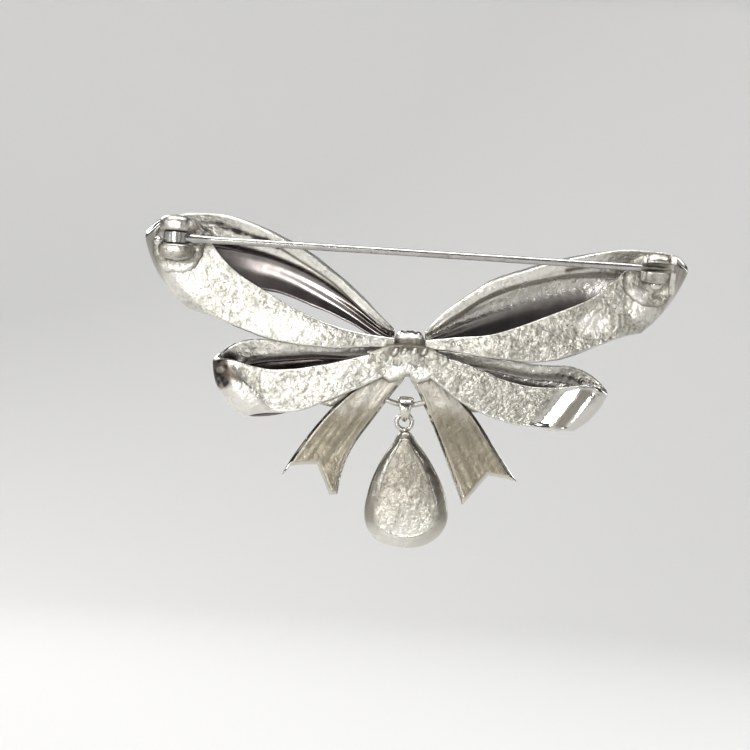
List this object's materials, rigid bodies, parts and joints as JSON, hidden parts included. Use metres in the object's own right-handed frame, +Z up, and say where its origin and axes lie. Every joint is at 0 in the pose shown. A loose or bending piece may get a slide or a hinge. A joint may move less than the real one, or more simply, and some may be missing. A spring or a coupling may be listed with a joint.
{
  "type": "bow brooch",
  "caption": "Ribbon bow brooch with a puffed teardrop on a bail, and on its back a hinged pin stem and a safety catch with a turning sleeve.",
  "frame": {"origin": "on the axis of the pin stem's straight shaft, half way along it, with the pin closed", "axes": "+X along the pin stem towards its hinge, +Y to the back of the brooch (the garment's side), -Y to its polished front, +Z up as it is worn, the drop hanging down"},
  "size_m": [0.0606, 0.0093, 0.0358],
  "materials": {
    "ribbon": "silver plate, polished front, rough cast back",
    "cast_back": "silver plate over a rough cast surface",
    "finding": "plated stock finding, worn satin",
    "wire": "drawn spring wire, plated"
  },
  "bodies": {
    "brooch": {"upper_loop_hinge_side": "ribbon", "upper_loop_catch_side": "ribbon", "lower_loop_hinge_side": "ribbon", "lower_loop_catch_side": "ribbon", "tail_hinge_side": "cast_back", "tail_catch_side": "cast_back", "knot": "ribbon", "hanger_bar": "wire", "hinge_pad": "finding", "hinge_bracket": "finding", "hinge_rivet": "finding", "catch_pad": "finding", "catch_housing": "finding"},
    "pin": {"pin_stem": "wire"},
    "lock": {"catch_sleeve": "finding"},
    "bail_link": {"bail": "finding"},
    "drop": {"drop_shell": "ribbon", "drop_back_plate": "cast_back"}
  },
  "joints": [
    {"name": "pin_swing", "type": "hinge", "parent": "brooch", "child": "pin", "pos_m": [0.0262, 0, 0], "axis": [0, 0, -1], "range_deg": [0, 100]},
    {"name": "lock_turn", "type": "hinge", "parent": "brooch", "child": "lock", "pos_m": [-0.0263, 0, 0], "axis": [1, 0, 0], "range_deg": [0, 90]},
    {"name": "bail_swing", "type": "hinge", "parent": "brooch", "child": "bail_link", "pos_m": [0, -0.0042, -0.0166], "axis": [1, 0, 0], "range_deg": [-70, 70]},
    {"name": "drop_swing", "type": "hinge", "parent": "bail_link", "child": "drop", "pos_m": [0, -0.0042, -0.01826], "axis": [0, 1, 0], "range_deg": [-14.5, 5]}
  ]
}
